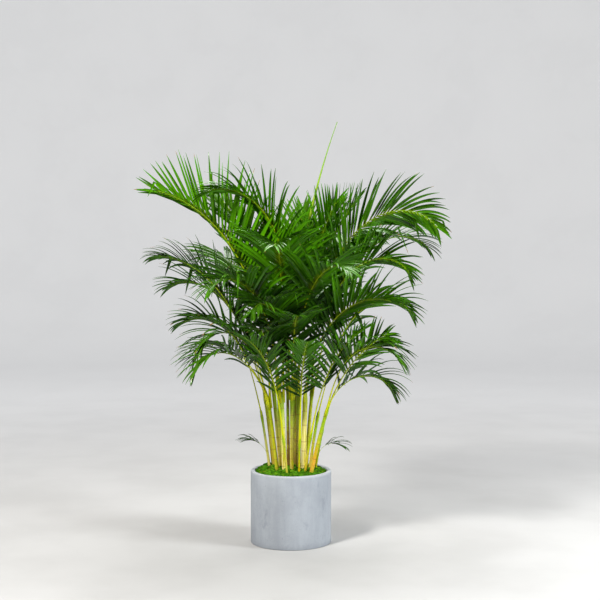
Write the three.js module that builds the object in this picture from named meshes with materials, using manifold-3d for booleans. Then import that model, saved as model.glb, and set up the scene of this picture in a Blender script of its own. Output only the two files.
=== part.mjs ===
// Potted areca palm in a cast concrete cylinder planter.
// Millimetres, +Z up. The origin is the centre of the planter's foot, on the floor.
// +X is the palm's right as seen from its front, and the front looks towards -Y.

import * as THREE from "three";
import { mergeGeometries, mergeVertices } from "three/addons/utils/BufferGeometryUtils.js";
import Module from "manifold-3d";

// gap left between pieces that touch
const gap = 0.3;

// planter
const planterDiameter = 400;
const planterHeight = 360;
const rimWall = 20;
const footWall = 26;
const planterFloor = 25;
const planterEdge = 4;
const planterSides = 48;

// nursery pot inside the planter
const potSideGap = 10;
const potWall = 3;
const potTaper = 16;
const potBelowRim = 30;

// root ball and moss
const rootGap = 0.4;
const rootSides = 32;
const mossEdgeGap = 2;
const mossBelowRim = 9;
const mossRise = 22;
const mossHoleGap = 0.7;

// whole plant
const growth = 1;
const caneSides = 8;
const caneSteps = 6;
const crownLength = 46;
const crownSwell = 3.5;

// frond stalk, half width and half thickness at its base and at its tip
const stalkBaseHalfWidth = 4.4;
const stalkTipHalfWidth = 1.6;
const stalkBaseHalfThick = 3.2;
const stalkTipHalfThick = 1;
const stalkSteps = 44;
const bareSteps = 4;

// leaflets
const leafletPairs = 7;
const leafletWidth = 24;
const leafletHalfThick = 0.6;
const leafletRoom = 12;
const stalkRoom = 2;
const seatRoom = 2.5;
const stalkRound = 1.15;
const bladeGap = 2;
const matesRoom = 6;
const baseSpread = 62;
const tipSpread = 20;
const flatGrid = 64;
const flatWaist = 1;

const planterRadius = planterDiameter / 2;
const innerRimRadius = planterRadius - rimWall;
const innerFootRadius = planterRadius - footWall;
const potTop = planterHeight - potBelowRim;
const potFoot = planterFloor + gap;
const potTopRadius = innerRimRadius - potSideGap;
const potFootRadius = innerFootRadius - potTaper;
const soilTop = potTop;
const soilRadius = potTopRadius - potWall - rootGap;
const mossUnder = potTop + gap;
const mossEdge = planterHeight - mossBelowRim;
const mossRadius = innerRimRadius - mossEdgeGap;
const caneFoot = soilTop + gap;

// Canes. x and y are the foot as a share of the soil's radius. Then the way it leans, its lean at the
// foot, the lean it gains by its crown, its length and its radius.
const canes = {
  a: { x: -0.62, y: 0.19, out: 175, lean: 7, bow: 3, long: 330, radius: 6 },
  b: { x: -0.5, y: 0.34, out: 160, lean: 6, bow: 3, long: 420, radius: 9 },
  c: { x: -0.39, y: -0.19, out: 190, lean: 6, bow: 2, long: 400, radius: 9 },
  d: { x: -0.28, y: 0.12, out: 180, lean: 5, bow: 1, long: 480, radius: 10 },
  e: { x: -0.18, y: -0.31, out: 230, lean: 3, bow: 1, long: 430, radius: 11 },
  f: { x: 0.03, y: -0.24, out: 270, lean: 1, bow: 1, long: 440, radius: 10 },
  g: { x: 0.22, y: 0.02, out: 60, lean: 0, bow: 1, long: 460, radius: 11 },
  h: { x: 0.37, y: -0.05, out: 30, lean: 1, bow: 1, long: 420, radius: 12 },
  i: { x: 0.54, y: -0.08, out: 0, lean: 6, bow: 5, long: 330, radius: 7 },
  j: { x: 0.57, y: -0.46, out: 340, lean: 12, bow: 5, long: 380, radius: 9 },
  k: { x: 0.7, y: 0.08, out: 10, lean: 9, bow: 3, long: 260, radius: 6 },
  l: { x: -0.08, y: 0.21, out: 100, lean: 2, bow: 2, long: 470, radius: 8 },
  m: { x: 0.14, y: 0.29, out: 80, lean: 2, bow: 2, long: 450, radius: 8 },
  n: { x: -0.27, y: 0.52, out: 120, lean: 4, bow: 3, long: 460, radius: 9 },
  o: { x: 0.12, y: 0.62, out: 90, lean: 5, bow: 3, long: 450, radius: 9 },
  p: { x: 0.45, y: 0.48, out: 50, lean: 5, bow: 4, long: 440, radius: 9 },
  q: { x: 0.24, y: -0.52, out: 280, lean: 4, bow: 8, long: 210, radius: 5 },
  r: { x: -0.1, y: -0.62, out: 225, lean: 6, bow: 4, long: 230, radius: 5 },
  s: { x: 0.4, y: -0.42, out: 330, lean: 8, bow: 4, long: 240, radius: 6 },
};

// Fronds. out is the way a frond arches, lean its angle from upright where it leaves the crown, tip
// its angle at the end and pow how late it bends. bare is the share of the stalk with no leaflets,
// leaf the longest leaflet, droop how far the leaflets hang, roll how far the blade turns about its
// stalk by the tip, and vee how far they fold upwards.
const fronds = {
  topLeft: {
    cane: "d", out: 184, lean: 9, tip: 76, long: 1160, pow: 2,
    leaf: 380, droop: 0.1, roll: 60, vee: 38,
  },
  midLeft: {
    cane: "e", out: 190, lean: -5, tip: 110, long: 1220, pow: 3.2,
    leaf: 340, droop: 1.0, roll: 25, vee: 15,
  },
  darkLeft: {
    cane: "c", out: 184, lean: 20, tip: 88, long: 930, pow: 2.8,
    leaf: 300, droop: 1.1, roll: 25, vee: 22,
  },
  lightLeft: {
    cane: "b", out: 172, lean: 18, tip: 120, long: 800, pow: 3,
    leaf: 290, droop: 0.7, roll: 35, vee: 22,
  },
  lowLeft: {
    cane: "a", out: 187, lean: 13, tip: 118, long: 670, pow: 2.6,
    leaf: 280, droop: 0.9, roll: 30, vee: 22,
  },
  hangLeft: {
    cane: "c", out: 210, lean: 12, tip: 150, long: 570, pow: 2.2,
    leaf: 270, droop: 1, roll: 0, vee: 22,
  },
  dropLeft: {
    cane: "c", out: 215, lean: 30, tip: 158, long: 560, pow: 2,
    leaf: 230, droop: 1, roll: 0, vee: 22,
  },
  skirtLeft: {
    cane: "b", out: 150, lean: 34, tip: 160, long: 560, pow: 2,
    leaf: 220, droop: 1, roll: 0, vee: 22,
  },
  frontLeft: {
    cane: "e", out: 232, lean: 10, tip: 126, long: 880, pow: 2.2,
    leaf: 290, droop: 0.8, roll: 0, vee: 22,
  },
  backLeft: {
    cane: "n", out: 148, lean: 4, tip: 50, long: 1060, pow: 1.6,
    leaf: 280, droop: 0.3, roll: -30, vee: 22,
  },
  upLeft: {
    cane: "l", out: 162, lean: 0, tip: 30, long: 900, pow: 1.8,
    leaf: 240, droop: 0.2, roll: 40, vee: 22,
  },
  upBack: {
    cane: "l", out: 95, lean: 4, tip: 30, long: 760, pow: 1.5,
    leaf: 300, droop: 0.2, roll: 0, vee: 22,
  },
  upRight: {
    cane: "m", out: 25, lean: 6, tip: 40, long: 1000, pow: 1.5,
    leaf: 300, droop: 0.2, roll: -50, vee: 22,
  },
  upMid: {
    cane: "g", out: 345, lean: 3, tip: 26, long: 920, pow: 1.6,
    leaf: 310, droop: 0.2, roll: -40, vee: 22,
  },
  upMidBack: {
    cane: "m", out: 75, lean: 3, tip: 18, long: 880, pow: 1.6,
    leaf: 300, droop: 0.2, roll: -20, vee: 22,
  },
  topRight: {
    cane: "g", out: 0, lean: 13, tip: 146, long: 1270, pow: 3.2,
    leaf: 300, droop: 0.8, roll: -68, vee: 10,
  },
  topRightBack: {
    cane: "p", out: 20, lean: 13, tip: 132, long: 1120, pow: 2.8,
    leaf: 300, droop: 0.9, roll: -20, vee: 22,
  },
  midRight: {
    cane: "h", out: 348, lean: 13, tip: 150, long: 970, pow: 3.4,
    leaf: 280, droop: 0.7, roll: -50, vee: 22,
  },
  curlRight: {
    cane: "i", out: 356, lean: 14, tip: 146, long: 820, pow: 3.2,
    leaf: 280, droop: 0.8, roll: -40, vee: 22,
  },
  lowRight: {
    cane: "k", out: 0, lean: 12, tip: 150, long: 500, pow: 1.6,
    leaf: 250, droop: 1.2, roll: -35, vee: 22,
  },
  edgeRight: {
    cane: "j", out: 336, lean: 22, tip: 62, long: 480, pow: 1.2,
    leaf: 190, droop: 0.7, roll: -60, vee: 12,
  },
  dropRight: {
    cane: "j", out: 335, lean: 16, tip: 150, long: 560, pow: 2,
    leaf: 250, droop: 1.3, roll: -20, vee: 22,
  },
  innerRight: {
    cane: "h", out: 326, lean: 14, tip: 104, long: 760, pow: 1.7,
    leaf: 270, droop: 0.5, roll: -40, vee: 22,
  },
  frontMid: {
    cane: "e", out: 266, lean: 4, tip: 104, long: 1000, pow: 2.2,
    leaf: 310, droop: 0.7, roll: 0, vee: 22,
  },
  frontRight: {
    cane: "f", out: 300, lean: 9, tip: 112, long: 900, pow: 2.2,
    leaf: 290, droop: 0.8, roll: 0, vee: 22,
  },
  frontLow: {
    cane: "f", out: 248, lean: 13, tip: 122, long: 720, pow: 2,
    leaf: 270, droop: 0.9, roll: 0, vee: 22,
  },
  faceLow: {
    cane: "q", out: 278, lean: 6, tip: 75, long: 600, pow: 2,
    leaf: 150, droop: 0.2, roll: 0, vee: 10,
  },
  lowInnerLeft: {
    cane: "c", out: 262, lean: 12, tip: 100, long: 560, pow: 1.6,
    leaf: 210, droop: 0.8, roll: 0, vee: 22, bare: 0.24,
  },
  lowInnerRight: {
    cane: "f", out: 275, lean: 12, tip: 90, long: 560, pow: 1.6,
    leaf: 210, droop: 0.7, roll: 0, vee: 22, bare: 0.24,
  },
  youngLeft: {
    cane: "r", out: 236, lean: 10, tip: 70, long: 620, pow: 1.6,
    leaf: 170, droop: 0.4, roll: 0, vee: 20,
  },
  youngRight: {
    cane: "s", out: 318, lean: 14, tip: 62, long: 640, pow: 1.6,
    leaf: 180, droop: 0.4, roll: 0, vee: 20,
  },
  backMid: {
    cane: "o", out: 92, lean: 4, tip: 76, long: 960, pow: 2,
    leaf: 310, droop: 0.5, roll: 0, vee: 22,
  },
  backRight: {
    cane: "p", out: 62, lean: 10, tip: 98, long: 1020, pow: 2,
    leaf: 300, droop: 0.7, roll: 0, vee: 22,
  },
  backLow: {
    cane: "o", out: 116, lean: 14, tip: 118, long: 860, pow: 2,
    leaf: 280, droop: 0.9, roll: 0, vee: 22,
  },
  backLeftLow: {
    cane: "n", out: 136, lean: 14, tip: 106, long: 960, pow: 2,
    leaf: 290, droop: 0.8, roll: 0, vee: 22,
  },
  backRightLow: {
    cane: "o", out: 66, lean: 16, tip: 116, long: 860, pow: 2,
    leaf: 280, droop: 0.9, roll: 0, vee: 22,
  },
};
const bareShare = 0.34;
const bareOf = (frond) => frond.bare ?? bareShare;

// the unopened leaf that stands above the rest
const spear = {
  cane: "f", out: 357, lean: 1, tip: 20, long: 1330, pow: 1.2, baseRadius: 3.5, tipRadius: 1.6,
};
const spearSides = 6;
const spearSteps = 10;

const degree = Math.PI / 180;
const wasm = await Module();
wasm.setup();

function material(color, roughness, metalness) {
  return new THREE.MeshStandardMaterial({ color, roughness, metalness });
}

function named(name, geometry, look) {
  const mesh = new THREE.Mesh(geometry, look);
  mesh.name = name;
  return mesh;
}

// three.js geometry as one closed manifold
function solid(geometry) {
  const bare = geometry.clone();
  bare.deleteAttribute("normal");
  bare.deleteAttribute("uv");
  const welded = mergeVertices(bare, 1e-4);
  const mesh = new wasm.Mesh({
    numProp: 3,
    vertProperties: new Float32Array(welded.attributes.position.array),
    triVerts: new Uint32Array(welded.index.array),
  });
  return new wasm.Manifold(mesh);
}

function geometryOf(body) {
  const mesh = body.getMesh();
  const geometry = new THREE.BufferGeometry();
  geometry.setAttribute("position", new THREE.BufferAttribute(new Float32Array(mesh.vertProperties), 3));
  geometry.setIndex(new THREE.BufferAttribute(new Uint32Array(mesh.triVerts), 1));
  const flat = geometry.toNonIndexed();
  flat.computeVertexNormals();
  return flat;
}

// a lathe about Z from pairs of radius and height
function turned(profile, sides) {
  const points = profile.map(([radius, height]) => new THREE.Vector2(radius, height));
  const geometry = new THREE.LatheGeometry(points, sides);
  geometry.rotateX(Math.PI / 2);
  return geometry;
}

// moves every vertex of a geometry by a rule from its old place to its new one
function reshaped(geometry, rule) {
  const spots = geometry.attributes.position;
  for (let index = 0; index < spots.count; index += 1) {
    const next = rule(spots.getX(index), spots.getY(index), spots.getZ(index));
    spots.setXYZ(index, next.x, next.y, next.z);
  }
  geometry.computeVertexNormals();
  return geometry;
}

// a geometry without the walls that lie at the given places along X
function withoutWalls(geometry, places) {
  const spots = geometry.attributes.position;
  const kept = [];
  for (let index = 0; index < spots.count; index += 3) {
    const inWall = places.some((place) => [0, 1, 2].every((step) => spots.getX(index + step) === place));
    if (!inWall) {
      kept.push(...spots.array.slice(index * 3, index * 3 + 9));
    }
  }
  const open = new THREE.BufferGeometry();
  open.setAttribute("position", new THREE.Float32BufferAttribute(kept, 3));
  return open;
}

// unit vector a given lean away from upright, towards a compass angle in the floor plane
function heading(out, lean) {
  return new THREE.Vector3(
    Math.sin(lean * degree) * Math.cos(out * degree),
    Math.sin(lean * degree) * Math.sin(out * degree),
    Math.cos(lean * degree),
  );
}

// a run of points along a stalk whose lean changes by a rule
function runOf(start, length, steps, out, leanAt) {
  const spots = [start.clone()];
  let spot = start.clone();
  for (let step = 0; step < steps; step += 1) {
    const share = (step + 0.5) / steps;
    spot = spot.clone().addScaledVector(heading(out, leanAt(share)), length / steps);
    spots.push(spot);
  }
  return spots;
}

function alongRun(spots, share) {
  const place = Math.min(Math.max(share, 0), 1) * (spots.length - 1);
  const low = Math.min(Math.floor(place), spots.length - 2);
  return spots[low].clone().lerp(spots[low + 1], place - low);
}

// sideways and upward directions of a stalk that heads along out and lean
function acrossOf(out, lean) {
  const side = new THREE.Vector3(-Math.sin(out * degree), Math.cos(out * degree), 0);
  const rise = heading(out, lean).cross(side);
  return { side, rise };
}

// a round stalk, swept along a run of points with a radius that changes along it
function sweptRound(spots, steps, sides, out, leanAt, radiusAt) {
  const ring = new THREE.Shape();
  for (let corner = 0; corner < sides; corner += 1) {
    const turn = (corner / sides) * 2 * Math.PI;
    if (corner === 0) {
      ring.moveTo(Math.cos(turn), Math.sin(turn));
    } else {
      ring.lineTo(Math.cos(turn), Math.sin(turn));
    }
  }
  const geometry = new THREE.ExtrudeGeometry(ring, { depth: 1, steps, bevelEnabled: false });
  return reshaped(geometry, (x, y, share) => {
    const { side, rise } = acrossOf(out, leanAt(share));
    const radius = radiusAt(share);
    return alongRun(spots, share).addScaledVector(rise, -x * radius).addScaledVector(side, y * radius);
  });
}

// ---- planter, nursery pot, root ball

const planterProfile = [
  [0, 0],
  [planterRadius - planterEdge, 0],
  [planterRadius, planterEdge],
  [planterRadius, planterHeight - planterEdge],
  [planterRadius - planterEdge * 0.3, planterHeight - planterEdge * 0.3],
  [planterRadius - planterEdge, planterHeight],
  [innerRimRadius + planterEdge, planterHeight],
  [innerRimRadius, planterHeight - planterEdge],
  [innerFootRadius, planterFloor],
  [0, planterFloor],
];

const potProfile = [
  [0, potFoot],
  [potFootRadius, potFoot],
  [potTopRadius, potTop],
  [potTopRadius - potWall, potTop],
  [potFootRadius - potWall, potFoot + potWall],
  [0, potFoot + potWall],
];

const rootFoot = potFoot + potWall + gap;
const rootProfile = [
  [0, rootFoot],
  [potFootRadius - potWall - rootGap, rootFoot],
  [soilRadius, soilTop],
  [0, soilTop],
];

// ---- canes

const caneRuns = {};

function caneLean(cane) {
  return (share) => cane.lean + cane.bow * share;
}

function caneRadius(cane) {
  const crownShare = 1 - crownLength / (cane.long * growth);
  return (share) => {
    const swell = THREE.MathUtils.smoothstep(share, crownShare - 0.08, crownShare + 0.04);
    return cane.radius * (1.12 - 0.2 * share) + crownSwell * swell;
  };
}

function crownRadius(cane) {
  return caneRadius(cane)(1);
}

for (const [key, cane] of Object.entries(canes)) {
  const foot = new THREE.Vector3(cane.x * soilRadius, cane.y * soilRadius, caneFoot);
  caneRuns[key] = runOf(foot, cane.long * growth, caneSteps, cane.out, caneLean(cane));
}

// a cane's foot is cut level, flush with the soil
function caneGeometry(key) {
  const cane = canes[key];
  const run = caneRuns[key];
  const geometry = sweptRound(run, caneSteps, caneSides, cane.out, caneLean(cane), caneRadius(cane));
  return reshaped(geometry, (x, y, z) => new THREE.Vector3(x, y, Math.max(z, caneFoot)));
}

// ---- moss

function mossGeometry() {
  const profile = [
    [0, mossUnder],
    [mossRadius, mossUnder],
    [mossRadius, mossEdge],
    [mossRadius * 0.93, mossEdge + mossRise * 0.45],
    [mossRadius * 0.78, mossEdge + mossRise * 0.8],
    [mossRadius * 0.5, mossEdge + mossRise],
    [0, mossEdge + mossRise],
  ];
  let body = solid(turned(profile, planterSides));
  for (const [key, cane] of Object.entries(canes)) {
    const wide = sweptRound(
      caneRuns[key],
      caneSteps,
      caneSides,
      cane.out,
      caneLean(cane),
      (share) => caneRadius(cane)(share) + mossHoleGap,
    );
    const dropped = reshaped(wide, (x, y, z) => {
      return new THREE.Vector3(x, y, z < caneFoot + cane.radius ? mossUnder - gap : z);
    });
    body = body.subtract(solid(dropped));
  }
  return geometryOf(body);
}

// ---- fronds

// what is already in place, as straight rods with a radius
const rods = [];

function rodsAlong(spots, owner, radiusAt) {
  const made = [];
  for (let index = 0; index + 1 < spots.length; index += 1) {
    const radius = radiusAt(index / (spots.length - 1));
    made.push({ from: spots[index], to: spots[index + 1], radius, owner });
  }
  return made;
}

// shortest distance between two straight rods
function rodDistance(one, two) {
  const alongOne = one.to.clone().sub(one.from);
  const alongTwo = two.to.clone().sub(two.from);
  const between = one.from.clone().sub(two.from);
  const oneOne = alongOne.dot(alongOne);
  const oneTwo = alongOne.dot(alongTwo);
  const twoTwo = alongTwo.dot(alongTwo);
  const oneGap = alongOne.dot(between);
  const twoGap = alongTwo.dot(between);
  const spread = oneOne * twoTwo - oneTwo * oneTwo;
  let shareOne = spread > 1e-9 ? (oneTwo * twoGap - twoTwo * oneGap) / spread : 0;
  shareOne = THREE.MathUtils.clamp(shareOne, 0, 1);
  let shareTwo = (oneTwo * shareOne + twoGap) / twoTwo;
  if (shareTwo < 0 || shareTwo > 1) {
    shareTwo = THREE.MathUtils.clamp(shareTwo, 0, 1);
    shareOne = THREE.MathUtils.clamp((oneTwo * shareTwo - oneGap) / oneOne, 0, 1);
  }
  return between.addScaledVector(alongOne, shareOne).addScaledVector(alongTwo, -shareTwo).length();
}

function clearOf(made, room, skipped) {
  return made.every((rod) => rods.every((other) => {
    if (skipped.includes(other.owner)) {
      return true;
    }
    return rodDistance(rod, other) > rod.radius + other.radius + room;
  }));
}

function frondLean(frond) {
  return (share) => frond.lean + (frond.tip - frond.lean) * share ** frond.pow;
}

function stalkHalfWidth(share) {
  return THREE.MathUtils.lerp(stalkBaseHalfWidth, stalkTipHalfWidth, share);
}

function stalkHalfThick(share) {
  return THREE.MathUtils.lerp(stalkBaseHalfThick, stalkTipHalfThick, share);
}

// Fronds of one cane stand around the top of its crown, in the order in which they arch.
function seatOf(name) {
  const frond = fronds[name];
  const mates = Object.keys(fronds).filter((other) => fronds[other].cane === frond.cane);
  const lone = mates.length === 1 && frond.cane !== spear.cane;
  mates.sort((one, two) => fronds[one].out - fronds[two].out);
  const crown = caneRuns[frond.cane].at(-1);
  const cane = canes[frond.cane];
  const stalkWide = 2 * stalkBaseHalfWidth * stalkRound;
  const pastSpear = frond.cane === spear.cane ? spear.baseRadius + stalkWide / 2 + seatRoom : 0;
  const pastMates = (stalkWide + seatRoom) / 2 / Math.sin(Math.PI / Math.max(mates.length, 2));
  const reach = lone ? 0 : Math.max(crownRadius(cane) - stalkBaseHalfWidth * 0.5, pastSpear, pastMates);
  const middle = mates.reduce((sum, other) => sum + fronds[other].out, 0) / mates.length;
  const turn = middle + (mates.indexOf(name) - (mates.length - 1) / 2) * (360 / Math.max(mates.length, 2));
  const { side, rise } = acrossOf(cane.out, caneLean(cane)(1));
  const axis = heading(cane.out, caneLean(cane)(1));
  const tilt = axis.angleTo(heading(frond.out, frond.lean));
  const lift = gap + Math.hypot(stalkBaseHalfWidth, stalkBaseHalfThick) * Math.sin(tilt);
  const around = (turn - cane.out) * degree;
  return crown
    .clone()
    .addScaledVector(rise, -Math.cos(around) * reach)
    .addScaledVector(side, Math.sin(around) * reach)
    .addScaledVector(axis, lift);
}

// How long a leaflet is along the leafy part of a stalk, as a share of the longest.
function leafletShare(along) {
  return (0.5 + 0.5 * Math.sin(Math.PI * Math.min(1, along * 0.9 + 0.14))) * (1 - 0.35 * along ** 4);
}

// The root, middle and tip of one leaflet, bent down by its own weight.
function leafletRun(frond, stalk, out, along, hand, length, spreadTurn, foldTurn) {
  const share = bareOf(frond) + (1 - bareOf(frond)) * along;
  const lean = frondLean(frond)(share);
  const { side, rise } = acrossOf(out, lean);
  const roll = frond.roll * share * degree;
  const wing = side.clone().multiplyScalar(Math.cos(roll)).addScaledVector(rise, Math.sin(roll));
  const face = side.clone().multiplyScalar(-Math.sin(roll)).addScaledVector(rise, Math.cos(roll));
  const spread = (THREE.MathUtils.lerp(baseSpread, tipSpread, along) + spreadTurn) * degree;
  const fold = (frond.vee + foldTurn) * degree;
  const start = heading(out, lean)
    .multiplyScalar(Math.cos(spread))
    .addScaledVector(wing, Math.sin(spread) * Math.cos(fold) * hand)
    .addScaledVector(face, Math.sin(spread) * Math.sin(fold));
  const spots = [alongRun(stalk, share)];
  const bends = 4;
  const droop = frond.droop * (1 - 0.6 * Math.max(0, start.z));
  for (let bend = 0; bend < bends; bend += 1) {
    const way = start.clone();
    way.z -= droop * ((bend + 0.5) / bends) ** 1.5;
    way.normalize();
    spots.push(spots[bend].clone().addScaledVector(way, length / bends));
  }
  return [spots[0], spots[bends / 2], spots[bends]];
}

// small changes tried in turn until a leaflet hangs clear of what is already there: turn, fold and
// share of length
const leafletTries = [];
for (const size of [1, 0.85, 0.7, 0.5]) {
  for (const fold of [0, 12, -12, 24, -24]) {
    for (const turn of [0, 8, -8, 16, -16]) {
      leafletTries.push({ size, fold, turn });
    }
  }
}

// turns tried in order until a stalk stands clear
const stalkTries = [0, 2, -2, 4, -4, 6, -6, 9, -9, 12, -12, 16, -16];

function placeStalk(name, frond, seat) {
  const radiusAt = (share) => stalkHalfWidth(share) * stalkRound;
  for (const turn of stalkTries) {
    const out = frond.out + turn;
    const stalk = runOf(seat, frond.long * growth, stalkSteps, out, frondLean(frond));
    const made = rodsAlong(stalk, name, radiusAt);
    if (clearOf(made, stalkRoom, [name, frond.cane])) {
      rods.push(...made);
      return { stalk, out };
    }
  }
  throw new Error(`no clear way for the stalk of ${name}`);
}

// Where the edge of a stalk is on one hand, and which way the stalk faces there.
function stalkEdge(frond, stalk, out, share, hand) {
  const { side, rise } = acrossOf(out, frondLean(frond)(share));
  const roll = frond.roll * share * degree;
  const wing = side.clone().multiplyScalar(Math.cos(roll)).addScaledVector(rise, Math.sin(roll));
  const face = side.clone().multiplyScalar(-Math.sin(roll)).addScaledVector(rise, Math.cos(roll));
  return { centre: alongRun(stalk, share).addScaledVector(wing, hand * stalkHalfWidth(share)), face };
}

// The clear run nearest to a leaflet's natural one, or null where its root has no room.
function clearLeaflet(name, frond, stalk, out, along, hand) {
  const length = frond.leaf * growth * leafletShare(along);
  for (const { size, fold, turn } of leafletTries) {
    const run = leafletRun(frond, stalk, out, along, hand, length * size, turn, fold);
    const made = rodsAlong(run, name, () => leafletRoom);
    const outer = { ...made[1], outer: true, radius: matesRoom / 2 };
    const mates = rods.filter((rod) => rod.owner === name && rod.outer);
    const clearOfMates = mates.every((rod) => rodDistance(rod, outer) > matesRoom);
    if (clearOfMates && clearOf(made, bladeGap, [name])) {
      rods.push(...made, outer);
      return run;
    }
  }
  return null;
}

// A stretch of stalk, with its leaflets, is drawn flat, given its thickness and then bent into place.
// Stretches meet face to face and are joined into one frond.
function frondGeometry(name, frond, stalk, out) {
  const long = frond.long * growth;
  const bareLength = bareOf(frond) * long;
  const pitch = (long - bareLength) / leafletPairs;

  function stretch(from, upTo, leafy) {
    const bent = new Map();
    const snapped = (size) => Math.round(size * flatGrid) / flatGrid;
    const keyOf = (x, y) => `${x},${y}`;

    function corner(list, x, y, centre, half, face) {
      list.push(new THREE.Vector2(snapped(x), snapped(y)));
      bent.set(keyOf(snapped(x), snapped(y)), { centre, half, face });
    }

    function edgeCorner(list, distance, hand) {
      const share = distance / long;
      const { centre, face } = stalkEdge(frond, stalk, out, share, hand);
      corner(list, distance, hand * stalkHalfWidth(share), centre, stalkHalfThick(share), face);
      return centre;
    }

    function leaflet(list, hand) {
      const start = from + pitch * (hand > 0 ? 0.4 : 0.12);
      const narrowing = 1 - (0.35 * (start - bareLength)) / (long - bareLength);
      const width = Math.min(leafletWidth, pitch * 0.5) * narrowing;
      const stop = start + width * 0.8;
      const along = ((start + stop) / 2 - bareLength) / (long - bareLength);
      const run = clearLeaflet(name, frond, stalk, out, along, hand);
      if (run === null) {
        return;
      }
      const [root, middle, tip] = run;
      const spread = THREE.MathUtils.lerp(baseSpread, tipSpread, along) * degree;
      const reach = middle.distanceTo(root);
      const edge = stalkHalfWidth(start / long);
      const first = edgeCorner(list, start, hand);
      const chord = stalkEdge(frond, stalk, out, stop / long, hand).centre.sub(first).normalize();
      const way = tip.clone().sub(root).normalize();
      const across = chord.clone().addScaledVector(way, -chord.dot(way)).normalize();
      const face = chord.clone().cross(way).normalize().multiplyScalar(hand);
      const flatAt = (far, aside) => [
        (start + stop) / 2 + far * Math.cos(spread) + aside * Math.sin(spread),
        hand * (edge + far * Math.sin(spread) - aside * Math.cos(spread)),
      ];
      const low = middle.clone().addScaledVector(across, -width / 2);
      const high = middle.clone().addScaledVector(across, width / 2);
      // drawn with a waist, so that the faces meet in a fold across the middle
      corner(list, ...flatAt(reach, -flatWaist), low, leafletHalfThick, face);
      corner(list, ...flatAt(reach * 2, 0), tip, leafletHalfThick, face);
      corner(list, ...flatAt(reach, flatWaist), high, leafletHalfThick, face);
      edgeCorner(list, stop, hand);
    }

    const left = [];
    const right = [];
    for (const [list, hand] of [[right, -1], [left, 1]]) {
      edgeCorner(list, from, hand);
      if (leafy) {
        leaflet(list, hand);
      }
      edgeCorner(list, upTo, hand);
    }
    const outline = new THREE.Shape([...right, ...left.reverse()]);
    const flat = new THREE.ExtrudeGeometry(outline, { depth: 1, steps: 1, bevelEnabled: false });
    const open = [];
    if (from > 0) {
      open.push(snapped(from));
    }
    if (upTo < long - pitch / 2) {
      open.push(snapped(upTo));
    }
    return reshaped(withoutWalls(flat, open), (x, y, z) => {
      const spot = bent.get(keyOf(x, y));
      return spot.centre.clone().addScaledVector(spot.face, (z < 0.5 ? -1 : 1) * spot.half);
    });
  }

  const stretches = [];
  for (let step = 0; step < bareSteps; step += 1) {
    stretches.push(stretch(bareLength * (step / bareSteps), bareLength * ((step + 1) / bareSteps), false));
  }
  for (let pair = 0; pair < leafletPairs; pair += 1) {
    stretches.push(stretch(bareLength + pair * pitch, bareLength + (pair + 1) * pitch, true));
  }
  return geometryOf(solid(mergeGeometries(stretches)));
}

// ---- assembly

const concrete = material(0xaab0b6, 0.85, 0);
const blackPlastic = material(0x1d1e20, 0.6, 0);
const peat = material(0x2e2119, 0.95, 0);
const moss = material(0x2f5a17, 0.9, 0);
const palm = new THREE.Group();
palm.name = "potted_palm";

palm.add(named("planter", turned(planterProfile, planterSides), concrete));
palm.add(named("nursery_pot", turned(potProfile, rootSides), blackPlastic));
palm.add(named("root_ball", turned(rootProfile, rootSides), peat));
palm.add(named("moss_top", mossGeometry(), moss));

for (const [key, cane] of Object.entries(canes)) {
  palm.add(named(`cane_${key}`, caneGeometry(key), material(0xb9b23a, 0.45, 0)));
  rods.push(...rodsAlong(caneRuns[key], key, (share) => caneRadius(cane)(share)));
}

const spearSeat = caneRuns[spear.cane].at(-1).clone();
spearSeat.z += gap + spear.baseRadius * 0.3;
const spearLean = frondLean(spear);
const spearRadius = (share) => THREE.MathUtils.lerp(spear.baseRadius, spear.tipRadius, share);
const spearRun = runOf(spearSeat, spear.long * growth, stalkSteps, spear.out, spearLean);
rods.push(...rodsAlong(spearRun, "spear", spearRadius));
const spearShape = sweptRound(spearRun, spearSteps, spearSides, spear.out, spearLean, spearRadius);
palm.add(named("spear_leaf", spearShape, material(0x8fae3c, 0.5, 0)));

const placed = {};
for (const [name, frond] of Object.entries(fronds)) {
  placed[name] = placeStalk(name, frond, seatOf(name));
}
for (const [name, frond] of Object.entries(fronds)) {
  const { stalk, out } = placed[name];
  palm.add(named(`frond_${name}`, frondGeometry(name, frond, stalk, out), material(0x3f7a24, 0.45, 0)));
}

export default palm;
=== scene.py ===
# Potted areca palm in a cast concrete cylinder: the looks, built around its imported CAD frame.
# Metres. The places and rules of the canes and fronds are those of the CAD part.

import math
import random

import bmesh
import bpy
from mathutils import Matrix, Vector, noise


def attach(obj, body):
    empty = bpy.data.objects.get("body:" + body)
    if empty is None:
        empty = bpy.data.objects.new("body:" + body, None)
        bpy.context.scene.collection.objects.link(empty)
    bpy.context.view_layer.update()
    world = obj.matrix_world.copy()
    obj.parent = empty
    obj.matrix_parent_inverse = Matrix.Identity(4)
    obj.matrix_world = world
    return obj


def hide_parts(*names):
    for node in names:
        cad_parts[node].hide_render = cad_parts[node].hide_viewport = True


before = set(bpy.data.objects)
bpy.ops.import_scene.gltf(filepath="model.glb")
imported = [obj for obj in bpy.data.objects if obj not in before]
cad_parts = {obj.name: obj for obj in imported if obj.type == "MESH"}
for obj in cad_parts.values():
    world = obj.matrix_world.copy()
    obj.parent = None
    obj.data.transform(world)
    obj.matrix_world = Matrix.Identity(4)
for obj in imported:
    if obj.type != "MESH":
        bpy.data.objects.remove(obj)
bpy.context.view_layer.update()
mm = 0.001
print("frame loaded:", len(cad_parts), "nodes")


# camera and lights

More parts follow.
